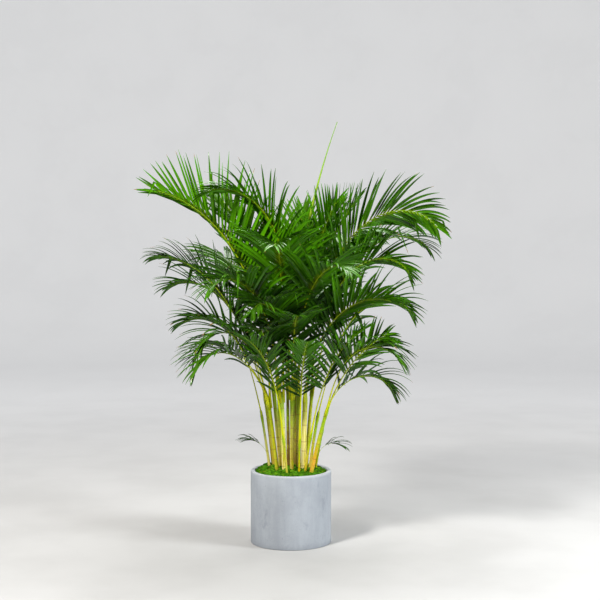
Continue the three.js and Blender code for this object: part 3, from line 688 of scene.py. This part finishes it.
random.seed(caneLook["seed"])
for key, cane in canePlaces.items():
    long = cane["long"] * mm
    joints = []
    level = random.uniform(*caneLook["firstJoint"]) * mm
    while level < long - 30 * mm:
        joints.append(level)
        level += random.uniform(*caneLook["jointGap"]) * mm * (1 + 0.6 * level / long)
    levels = [ring / caneLook["rings"] * long for ring in range(caneLook["rings"] + 1)]
    for joint in joints:
        levels += [joint + reach * mm for reach in (-6, -2.4, -0.9, 0.3, 0.9, 2.4, 6)]
    rings = sorted({round(level, 5) for level in levels if 0 <= level <= long})
    tone = random.random()
    phase = random.uniform(0, 6)

    def placeCane(level, turn):
        share = level / long
        side, rise = acrossOf(cane["out"], caneLean(cane)(share))
        size = caneRadius(cane, share)
        near = min((abs(level - joint) for joint in joints), default=1)
        if share < 0.55:
            # each leaf scar is a raised ring
            size += 0.55 * mm * math.exp(-((near / (1.6 * mm)) ** 2))
        below = [joint for joint in joints if joint <= level]
        if share >= 0.4 and below:
            # higher up, each sheath stands proud of the one inside it
            size -= 0.5 * mm * math.exp(-(level - below[-1]) / (9 * mm))
        size *= 1 + 0.035 * math.sin(2 * turn + phase) + 0.02 * math.sin(5 * turn + phase + 9 * share)
        size *= lerp(1, 0.62, smoothStep(level, long - 70 * mm, long))
        if long - level < 6 * mm:
            size *= math.sqrt(max((long - level) / (6 * mm), 0.1))
        spot = alongRun(caneRuns[key], share) + rise * math.cos(turn) * size + side * math.sin(turn) * size
        spot.z = max(spot.z, caneLook["foot"] * mm)
        return spot

    def markCane(vert, level, turn):
        near = min((abs(level - joint) for joint in joints), default=1)
        vert[marks["along"]] = level / long
        vert[marks["scar"]] = math.exp(-((near / (1.5 * mm)) ** 2))
        vert[marks["tone"]] = tone
        for name in ("wax", "warm", "age"):
            vert[marks[name]] = cane[name]

    bm = bmesh.new()
    cornerMark = bm.verts.layers.int.new("corner")
    marks = marksOf(bm, ["along", "scar", "tone", "wax", "warm", "age"])
    tube(bm, rings, caneLook["sides"], cornerMark, placeCane, markCane)
    bmesh.ops.recalc_face_normals(bm, faces=bm.faces)
    shadeSmooth(bm)
    keep(bm, "arecaCane_" + key, [caneFinish], ["cane_" + key])
print("canes made")


# fronds

# the stalk's widths, thicknesses and flare are in millimetres, as are long and leaf below
frondLook = {
    "baseWide": 4.4,
    "tipWide": 1.6,
    "baseThick": 3.2,
    "tipThick": 1.0,
    "flare": 2.6,
    "flareShare": 0.11,
    "sheath": 55 * mm,
    "stalkSteps": 44,
    "stalkSides": 10,
    "seatRoom": 1.15,
    "gap": 2.5 * mm,
    "spearRoom": 3.5 * mm,
    "spacing": 20 * mm,
    "width": 23 * mm,
    "thickness": 0.45 * mm,
    "fullWidthLeaf": 250,
    "fold": 20,
    "baseSpread": 62,
    "tipSpread": 20,
    "lengthGain": 1.08,
    "bends": 8,
    "kinkShare": 0.03,
    "kinkFall": 2.2,
    "seed": 23,
}
# a frond leaves its cane at the compass angle out, and its lean grows to tip along its length, by the power pow;
# leaf is the longest leaflet, droop its fall, roll the twist of the blade and vee the lift of its two rows; tone
# goes from dark to light green, wear is the share of leaflets with dry ends, bare the share of stalk without any
frondColumns = (
    "cane", "out", "lean", "tip", "pow", "long", "leaf", "droop", "roll", "vee", "tone", "wear", "bare",
)
frondRows = {
    "topLeft": ("d", 184, 9, 76, 2, 1160, 380, 0.1, 60, 38, 0.75, 0.1, 0.34),
    "midLeft": ("e", 190, -5, 110, 3.2, 1220, 340, 1.0, 25, 15, 0.6, 0.05, 0.34),
    "darkLeft": ("c", 184, 20, 88, 2.8, 930, 300, 1.1, 25, 22, 0.15, 0.15, 0.34),
    "lightLeft": ("b", 172, 18, 120, 3, 800, 290, 0.7, 35, 22, 0.6, 0.1, 0.34),
    "lowLeft": ("a", 187, 13, 118, 2.6, 670, 280, 0.9, 30, 22, 0.35, 0.25, 0.34),
    "hangLeft": ("c", 210, 12, 150, 2.2, 570, 270, 1, 0, 22, 0.3, 0.3, 0.34),
    "dropLeft": ("c", 215, 30, 158, 2, 560, 230, 1, 0, 22, 0.3, 0.35, 0.34),
    "skirtLeft": ("b", 150, 34, 160, 2, 560, 220, 1, 0, 22, 0.25, 0.3, 0.34),
    "frontLeft": ("e", 232, 10, 126, 2.2, 880, 290, 0.8, 0, 22, 0.4, 0.1, 0.34),
    "backLeft": ("n", 148, 4, 50, 1.6, 1060, 280, 0.3, -30, 22, 0.3, 0.1, 0.34),
    "upLeft": ("l", 162, 0, 30, 1.8, 900, 240, 0.2, 40, 22, 0.45, 0.05, 0.34),
    "upBack": ("l", 95, 4, 30, 1.5, 760, 300, 0.2, 0, 22, 0.5, 0.05, 0.34),
    "upRight": ("m", 25, 6, 40, 1.5, 1000, 300, 0.2, -50, 22, 0.4, 0.05, 0.34),
    "upMid": ("g", 345, 3, 26, 1.6, 920, 310, 0.2, -40, 22, 0.75, 0.02, 0.34),
    "upMidBack": ("m", 75, 3, 18, 1.6, 880, 300, 0.2, -20, 22, 0.55, 0.05, 0.34),
    "topRight": ("g", 0, 13, 146, 3.2, 1270, 300, 0.8, -68, 10, 0.4, 0.1, 0.34),
    "topRightBack": ("p", 20, 13, 132, 2.8, 1120, 300, 0.9, -20, 22, 0.3, 0.1, 0.34),
    "midRight": ("h", 348, 13, 150, 3.4, 970, 280, 0.7, -50, 22, 0.45, 0.1, 0.34),
    "curlRight": ("i", 356, 14, 146, 3.2, 820, 280, 0.8, -40, 22, 0.5, 0.15, 0.34),
    "lowRight": ("k", 0, 12, 150, 1.6, 500, 250, 1.2, -35, 22, 0.35, 0.2, 0.34),
    "edgeRight": ("j", 336, 22, 62, 1.2, 480, 190, 0.7, -60, 12, 0.35, 0.15, 0.34),
    "dropRight": ("j", 335, 16, 150, 2, 560, 250, 1.3, -20, 22, 0.25, 0.25, 0.34),
    "innerRight": ("h", 326, 14, 104, 1.7, 760, 270, 0.5, -40, 22, 0.5, 0.05, 0.34),
    "frontMid": ("e", 266, 4, 104, 2.2, 1000, 310, 0.7, 0, 22, 0.4, 0.1, 0.34),
    "frontRight": ("f", 300, 9, 112, 2.2, 900, 290, 0.8, 0, 22, 0.45, 0.1, 0.34),
    "frontLow": ("f", 248, 13, 122, 2, 720, 270, 0.9, 0, 22, 0.35, 0.1, 0.34),
    "faceLow": ("q", 278, 6, 75, 2, 600, 150, 0.2, 0, 10, 0.7, 0.02, 0.34),
    "lowInnerLeft": ("c", 262, 12, 100, 1.6, 560, 210, 0.8, 0, 22, 0.3, 0.1, 0.24),
    "lowInnerRight": ("f", 275, 12, 90, 1.6, 560, 210, 0.7, 0, 22, 0.35, 0.1, 0.24),
    "youngLeft": ("r", 236, 10, 70, 1.6, 620, 170, 0.4, 0, 20, 0.5, 0.05, 0.34),
    "youngRight": ("s", 318, 14, 62, 1.6, 640, 180, 0.4, 0, 20, 0.55, 0.05, 0.34),
    "backMid": ("o", 92, 4, 76, 2, 960, 310, 0.5, 0, 22, 0.45, 0.1, 0.34),
    "backRight": ("p", 62, 10, 98, 2, 1020, 300, 0.7, 0, 22, 0.35, 0.1, 0.34),
    "backLow": ("o", 116, 14, 118, 2, 860, 280, 0.9, 0, 22, 0.35, 0.2, 0.34),
    "backLeftLow": ("n", 136, 14, 106, 2, 960, 290, 0.8, 0, 22, 0.3, 0.15, 0.34),
    "backRightLow": ("o", 66, 16, 116, 2, 860, 280, 0.9, 0, 22, 0.35, 0.15, 0.34),
}
frondPlaces = {name: dict(zip(frondColumns, row)) for name, row in frondRows.items()}

leafLook = {
    "dark": (0.002, 0.028, 0.0003, 1),
    "light": (0.085, 0.33, 0.001, 1),
    "root": (0.30, 0.42, 0.008, 1),
    "rib": (0.09, 0.27, 0.002, 1),
    "midrib": (0.18, 0.36, 0.004, 1),
    "under": (0.07, 0.19, 0.01, 1),
    "dry": (0.30, 0.17, 0.055, 1),
    # painted shade inside the crown, and the heights where it fades out
    "crownShade": (0.002, 0.020, 0.0003, 1),
    "crownShadeGone": 1.5,
    "crownShadeFull": 1.2,
    "glowDark": (0.02, 0.14, 0.0005, 1),
    "glowLight": (0.16, 0.45, 0.002, 1),
    "glowDry": (0.35, 0.2, 0.06, 1),
    "glowShare": 0.22,
}
leafFinish, tree, shader = newMaterial("arecaLeaflet", {
    "Roughness": 0.3,
    "Specular IOR Level": 0.26,
    "Specular Tint": (0.7, 1, 0.5, 1),
    "Coat Weight": 0.2,
    "Coat Roughness": 0.14,
})
along, across = markOf(tree, "along"), markOf(tree, "across")
tone = markOf(tree, "tone")
wide = mathOf(tree, "ABSOLUTE", across)
cloud = noiseOf(tree, objectSpot(tree), 22, 3)
depth = sumOf(tree, tone, timesOf(tree, mathOf(tree, "SUBTRACT", cloud, 0.5), 0.35), True)
colour = blendColour(tree, depth, leafLook["dark"], leafLook["light"])
root = rangeOf(tree, along, 0.0, 0.13, 0.8, 0)
colour = blendColour(tree, root, colour, leafLook["root"])
ribs = addNode(tree, "TexWave", wave_type="BANDS", bands_direction="X", wave_profile="SIN")
ribSpot = addNode(tree, "CombineXYZ")
feed(tree, ribSpot, 0, across)
feed(tree, ribs, "Vector", ribSpot.outputs[0])
feed(tree, ribs, "Scale", 2.6)
rib = ribs.outputs["Fac"]
colour = blendColour(tree, timesOf(tree, rib, 0.16), colour, leafLook["rib"])
midrib = rangeOf(tree, wide, 0.0, 0.14, 0.7, 0)
colour = blendColour(tree, midrib, colour, leafLook["midrib"])
under = timesOf(tree, markOf(tree, "under"), 0.35)
colour = blendColour(tree, under, colour, leafLook["under"])

# dry brown ends, on the leaflets whose wear mark isn't nought
dryness = sumOf(tree, along, timesOf(tree, mathOf(tree, "SUBTRACT", cloud, 0.5), 0.1))
dryStart = mathOf(tree, "SUBTRACT", 1.0, markOf(tree, "wear"))
dry = rangeOf(tree, mathOf(tree, "SUBTRACT", dryness, dryStart), -0.01, 0.025)
dry = timesOf(tree, dry, mathOf(tree, "GREATER_THAN", markOf(tree, "wear"), 0.001))
colour = blendColour(tree, dry, colour, leafLook["dry"])

# painted shade: leaves near the stems are darker, up to the height where the heart of the crown is gone
leafPlace = addNode(tree, "SeparateXYZ")
feed(tree, leafPlace, 0, addNode(tree, "TexCoord").outputs["Object"])
sideReach = timesOf(tree, mathOf(tree, "POWER", leafPlace.outputs[0], 2), 0.5)
fromAxis = sumOf(tree, sideReach, mathOf(tree, "POWER", leafPlace.outputs[1], 2))
inCrown = rangeOf(tree, leafPlace.outputs[2], leafLook["crownShadeFull"], leafLook["crownShadeGone"], 1, 0)
crownShade = timesOf(tree, rangeOf(tree, fromAxis, 0.0, 0.1, 0.9, 0), inCrown)
feed(tree, shader, "Base Color", blendColour(tree, crownShade, colour, leafLook["crownShade"]))
gloss = rangeOf(tree, cloud, 0.3, 0.7, 0.16, 0.3)
feed(tree, shader, "Roughness", sumOf(tree, gloss, timesOf(tree, dry, 0.35)))
skin = timesOf(tree, noiseOf(tree, objectSpot(tree), 500, 2), 0.5)
addBump(tree, shader, sumOf(tree, timesOf(tree, rib, 0.6), skin), 0.25, 0.0004)

# some of the light comes through a leaf
glow = addNode(tree, "BsdfTranslucent")
glowColour = blendColour(tree, depth, leafLook["glowDark"], leafLook["glowLight"])
feed(tree, glow, "Color", blendColour(tree, dry, glowColour, leafLook["glowDry"]))
leafMix = addNode(tree, "MixShader")
feed(tree, leafMix, "Fac", leafLook["glowShare"])
tree.links.new(shader.outputs[0], leafMix.inputs[1])
tree.links.new(glow.outputs[0], leafMix.inputs[2])
tree.links.new(leafMix.outputs[0], tree.nodes["Material Output"].inputs["Surface"])

stalkLook = {
    "yellow": (0.52, 0.55, 0.002, 1),
    "lime": (0.34, 0.48, 0.002, 1),
    "green": (0.15, 0.36, 0.002, 1),
    "groove": (0.22, 0.38, 0.005, 1),
    "speck": (0.16, 0.08, 0.02, 1),
}
stalkFinish, tree, shader = newMaterial(
    "arecaStalk", {"Roughness": 0.38, "Specular IOR Level": 0.3, "Specular Tint": (1, 1, 0.5, 1)}
)
along = markOf(tree, "along")
fibre = groupNode(tree, fibreGroup, Fineness=1500.0, Stretch=0.05)
blotch = noiseOf(tree, objectSpot(tree), 45, 3)
shift = sumOf(tree, along, timesOf(tree, mathOf(tree, "SUBTRACT", blotch, 0.5), 0.3))
colour = blendColour(tree, rangeOf(tree, shift, 0.1, 0.62), stalkLook["yellow"], stalkLook["lime"])
colour = blendColour(tree, rangeOf(tree, shift, 0.6, 1.0), colour, stalkLook["green"])
groove = rangeOf(tree, markOf(tree, "across"), 0.55, 0.95, 0, 0.5)
colour = blendColour(tree, groove, colour, stalkLook["groove"])
speck = groupNode(tree, speckGroup, Scale=420.0, Size=0.26, Share=0.06).outputs["Mask"]
colour = blendColour(tree, timesOf(tree, speck, 0.6), colour, stalkLook["speck"])
feed(tree, shader, "Base Color", blendColour(tree, 0.25, colour, fibre.outputs["Strand"], "OVERLAY"))
feed(tree, shader, "Roughness", rangeOf(tree, fibre.outputs["Patch"], 0.3, 0.7, 0.3, 0.5))
addBump(tree, shader, fibre.outputs["Strand"], 0.3, 0.0004)


def frondLean(frond):
    return lambda share: frond["lean"] + (frond["tip"] - frond["lean"]) * share ** frond["pow"]


def stalkWide(share):
    flare = frondLook["flare"] * math.exp(-share / frondLook["flareShare"])
    return (lerp(frondLook["baseWide"], frondLook["tipWide"], share) + flare) * mm


def stalkThick(share):
    flare = frondLook["flare"] * 0.5 * math.exp(-share / frondLook["flareShare"])
    return (lerp(frondLook["baseThick"], frondLook["tipThick"], share) + flare) * mm


spearPlace = {"cane": "f", "out": 357, "lean": 1, "tip": 20, "long": 1330, "pow": 1.2}


def seatOf(name):
    # fronds of one cane stand around the top of its crown, in the order in which they arch
    frond = frondPlaces[name]
    cane = canePlaces[frond["cane"]]
    mates = [key for key in frondPlaces if frondPlaces[key]["cane"] == frond["cane"]]
    mates.sort(key=lambda key: frondPlaces[key]["out"])
    bySpear = frond["cane"] == spearPlace["cane"]
    crown = caneRuns[frond["cane"]][-1]
    stalkAcross = 2 * frondLook["baseWide"] * mm * frondLook["seatRoom"]
    pastSpear = frondLook["spearRoom"] + stalkAcross / 2 + frondLook["gap"] if bySpear else 0
    pastMates = (stalkAcross + frondLook["gap"]) / 2 / math.sin(math.pi / max(len(mates), 2))
    reach = max(caneRadius(cane, 1) - frondLook["baseWide"] * 0.5 * mm, pastSpear, pastMates)
    if len(mates) == 1 and not bySpear:
        reach = 0
    middle = sum(frondPlaces[key]["out"] for key in mates) / len(mates)
    turn = middle + (mates.index(name) - (len(mates) - 1) / 2) * 360 / max(len(mates), 2)
    side, rise = acrossOf(cane["out"], caneLean(cane)(1))
    around = math.radians(turn - cane["out"])
    return crown - rise * math.cos(around) * reach + side * math.sin(around) * reach


def leafletShare(along):
    # how long a leaflet is beside the longest, from the first pair to the tip of the frond
    return (0.5 + 0.5 * math.sin(math.pi * min(1, along * 0.9 + 0.14))) * (1 - 0.35 * along ** 4)


def wingOf(frond, share):
    # the directions of a leaflet row and of the upper face
    side, rise = acrossOf(frond["out"], frondLean(frond)(share))
    roll = math.radians(frond["roll"] * share)
    return side * math.cos(roll) + rise * math.sin(roll), rise * math.cos(roll) - side * math.sin(roll)


def addLeaflet(bm, marks, root, start, face, long, wide, droop, kink, tone, wear):
    # a flat grid laid along a line that bends down under its own weight, folded about its midrib
    bends = frondLook["bends"]
    grid = bmesh.ops.create_grid(bm, x_segments=bends, y_segments=2, size=1)["verts"]
    spots, ways = [root], []
    for bend in range(bends):
        way = start.copy()
        way.z -= droop * ((bend + 0.5) / bends) ** 1.5
        if kink and bend / bends > kink:
            way.z -= frondLook["kinkFall"]
        ways.append(way.normalized())
        spots.append(spots[-1] + ways[-1] * long / bends)
    ways.append(ways[-1])
    faces = [(face - start * face.dot(start)).normalized()]
    for bend in range(bends):
        faces.append(ways[bend].rotation_difference(ways[bend + 1]) @ faces[-1])
    fold = math.radians(frondLook["fold"])
    for vert in grid:
        step = round((vert.co.x + 1) / 2 * bends)
        hand = round(vert.co.y)
        share = step / bends
        half = wide / 2 * min(1, 0.4 + 2.6 * share) * max(1 - share ** 2.4, 0) ** 0.8
        half = max(half, 0.3 * mm)
        across = ways[step].cross(faces[step])
        vert.co = spots[step] + across * hand * half * math.cos(fold)
        vert.co -= faces[step] * abs(hand) * half * math.sin(fold)
        vert[marks["along"]] = share
        vert[marks["across"]] = hand
        vert[marks["tone"]] = tone
        vert[marks["wear"]] = wear


def addStalk(bm, marks, cornerMark, frond, stalk, sheathFoot, stalkSize):
    steps = frondLook["stalkSteps"]
    rings = [-1, -0.5] + [step / steps for step in range(steps + 1)]

    def placeStalk(share, turn):
        wing, face = wingOf(frond, max(share, 0))
        spot = alongRun(stalk, share)
        if share < 0:
            spot = stalk[0].lerp(sheathFoot, -share)
        half, thick = stalkWide(max(share, 0)) * stalkSize, stalkThick(max(share, 0)) * stalkSize
        dip = 1 - 0.55 * max(0, math.sin(turn)) ** 6 * (1 - smoothStep(share, 0.6, 0.95))
        return spot + wing * math.cos(turn) * half + face * math.sin(turn) * thick * dip

    def markStalk(vert, share, turn):
        vert[marks["along"]] = max(share, 0)
        vert[marks["across"]] = math.sin(turn)

    tube(bm, rings, frondLook["stalkSides"], cornerMark, placeStalk, markStalk)


def makeFrond(name, frond, seat, sheathFoot, pairs, nodeNames, stalkSize=1, leafSize=1):
    # the stalk, its leaflets in pairs, and the sheath that runs down into the crown below it
    stalk = runOf(seat, frond["long"] * mm, frondLook["stalkSteps"], frond["out"], frondLean(frond))
    frondWide = frondLook["width"] * leafSize * min(1, 0.2 + 0.8 * frond["leaf"] / frondLook["fullWidthLeaf"])
    bm = bmesh.new()
    cornerMark = bm.verts.layers.int.new("corner")
    marks = marksOf(bm, ["along", "across", "tone", "wear", "under"])
    addStalk(bm, marks, cornerMark, frond, stalk, sheathFoot, stalkSize)
    bmesh.ops.recalc_face_normals(bm, faces=bm.faces)
    for face in bm.faces:
        face.material_index = 1
    stalkFaces = set(bm.faces)
    for pair in range(pairs):
        for hand in (-1, 1):
            along = min(max((pair + 0.5 + hand * 0.2) / pairs + random.gauss(0, 0.15) / pairs, 0), 1)
            share = frond["bare"] + (1 - frond["bare"]) * along
            wing, face = wingOf(frond, share)
            lean = frondLean(frond)(share)
            spread = lerp(frondLook["baseSpread"], frondLook["tipSpread"], along) + random.gauss(0, 2.5)
            spread = math.radians(spread)
            vee = math.radians(frond["vee"] + random.gauss(0, 5))
            start = heading(frond["out"], lean) * math.cos(spread)
            start += wing * math.sin(spread) * math.cos(vee) * hand + face * math.sin(spread) * math.sin(vee)
            reach = frond["leaf"] * mm * leafletShare(along) * frondLook["lengthGain"] * random.gauss(1, 0.04)
            wide = frondWide * (0.55 + 0.45 * leafletShare(along)) * random.uniform(0.88, 1.08)
            twist = math.radians(random.gauss(12, 8)) * hand
            blade = face * math.cos(twist) + wing * math.sin(twist)
            droop = frond["droop"] * random.uniform(0.75, 1.3) * (1 - 0.6 * max(0, start.z)) + 0.06
            kink = random.uniform(0.4, 0.7) if random.random() < frondLook["kinkShare"] else 0
            tone = min(max(frond["tone"] + random.gauss(0, 0.2), 0), 1)
            wear = random.uniform(0.03, 0.13) if random.random() < frond["wear"] else 0
            root = alongRun(stalk, share) + wing * hand * stalkWide(share) * 0.6
            addLeaflet(bm, marks, root, start, blade, reach, wide, droop, kink, tone, wear)
    blades = [face for face in bm.faces if face not in stalkFaces]
    before = set(bm.verts)
    bmesh.ops.solidify(bm, geom=blades, thickness=frondLook["thickness"])
    for vert in bm.verts:
        if vert not in before:
            vert[marks["under"]] = 1
    shadeSmooth(bm)
    # the midrib and the edges of a leaflet are creases
    for edge in bm.edges:
        one, two = edge.verts[0][marks["across"]], edge.verts[1][marks["across"]]
        if edge.link_faces and edge.link_faces[0].material_index == 0 and one == two:
            edge.smooth = False
    keep(bm, name, [leafFinish, stalkFinish], nodeNames)


random.seed(frondLook["seed"])
for name, frond in frondPlaces.items():
    leafy = frond["long"] * mm * (1 - frond["bare"])
    seat = seatOf(name)
    crown = caneRuns[frond["cane"]][-1]
    down = caneRuns[frond["cane"]][-4] - crown
    sheathFoot = seat.lerp(crown, 0.15) + down.normalized() * frondLook["sheath"]
    pairs = round(leafy / frondLook["spacing"])
    makeFrond("arecaFrond_" + name, frond, seat, sheathFoot, pairs, ["frond_" + name])
print("fronds made")


# small shoots low at the sides of the clump: a few soft leaflets on a thin stalk

shootLook = {"pairs": 7, "stalkSize": 0.45, "leafSize": 0.8}
shootHabit = {"pow": 1.3, "droop": 0.9, "roll": 0, "vee": 20, "tone": 0.6, "wear": 0.2, "bare": 0.5}
shootPlaces = {
    "left": {"cane": "a", "from": 0.3, "out": 190, "lean": 22, "tip": 92, "long": 135, "leaf": 110, "seed": 3},
    "right": {"cane": "k", "from": 0.34, "out": 350, "lean": 14, "tip": 118, "long": 150, "leaf": 120, "seed": 4},
}
for key, shoot in shootPlaces.items():
    random.seed(shoot["seed"])
    foot = alongRun(caneRuns[shoot["cane"]], shoot["from"])
    sheathFoot = alongRun(caneRuns[shoot["cane"]], shoot["from"] - 0.15)
    makeFrond(
        "basalShoot_" + key, {**shootHabit, **shoot}, foot, sheathFoot, shootLook["pairs"], [],
        shootLook["stalkSize"], shootLook["leafSize"],
    )
print("shoots made")


# the unopened spear leaf

spearLook = {
    "sides": 14,
    "steps": 70,
    "bends": 44,
    "base": 4.5 * mm,
    "middle": 6.5 * mm,
    "tip": 1.6 * mm,
    "pleats": 7,
    "yellow": (0.55, 0.46, 0.01, 1),
    "lime": (0.36, 0.50, 0.012, 1),
    "green": (0.17, 0.36, 0.012, 1),
    "groove": (0.10, 0.22, 0.02, 1),
}
spearFinish, tree, shader = newMaterial("spearLeaf", {"Roughness": 0.4, "Specular IOR Level": 0.4})
along = markOf(tree, "along")
fibre = groupNode(tree, fibreGroup, Fineness=1600.0, Stretch=0.03)
colour = blendColour(tree, rangeOf(tree, along, 0.1, 0.42), spearLook["yellow"], spearLook["lime"])
colour = blendColour(tree, rangeOf(tree, along, 0.5, 0.95), colour, spearLook["green"])
groove = rangeOf(tree, markOf(tree, "across"), -1, 0.2, 0.5, 0)
colour = blendColour(tree, groove, colour, spearLook["groove"])
feed(tree, shader, "Base Color", blendColour(tree, 0.3, colour, fibre.outputs["Strand"], "OVERLAY"))
feed(tree, shader, "Roughness", rangeOf(tree, fibre.outputs["Patch"], 0.3, 0.7, 0.34, 0.5))
addBump(tree, shader, fibre.outputs["Strand"], 0.3, 0.0004)

spearFoot = caneRuns[spearPlace["cane"]][-1] + Vector((0, 0, 1 * mm))
spearRun = runOf(
    spearFoot, spearPlace["long"] * mm, spearLook["bends"], spearPlace["out"], frondLean(spearPlace)
)


def spearGroove(share, turn):
    return math.cos(turn * spearLook["pleats"] + share * 10) * smoothStep(share, 0.15, 0.3)


def placeSpear(share, turn):
    side, rise = acrossOf(spearPlace["out"], frondLean(spearPlace)(share))
    size = lerp(spearLook["base"], spearLook["middle"], smoothStep(share, 0.1, 0.4))
    size = lerp(size, spearLook["tip"], smoothStep(share, 0.55, 1) ** 1.3)
    size *= 1 + 0.1 * spearGroove(share, turn)
    return alongRun(spearRun, share) + rise * math.cos(turn) * size + side * math.sin(turn) * size * 0.8


def markSpear(vert, share, turn):
    vert[marks["along"]] = share
    vert[marks["across"]] = spearGroove(share, turn)


bm = bmesh.new()
cornerMark = bm.verts.layers.int.new("corner")
marks = marksOf(bm, ["along", "across"])
rings = [step / spearLook["steps"] for step in range(spearLook["steps"] + 1)]
tube(bm, rings, spearLook["sides"], cornerMark, placeSpear, markSpear)
bmesh.ops.recalc_face_normals(bm, faces=bm.faces)
shadeSmooth(bm)
keep(bm, "spearLeaf", [spearFinish], ["spear_leaf"])
print("spear made")
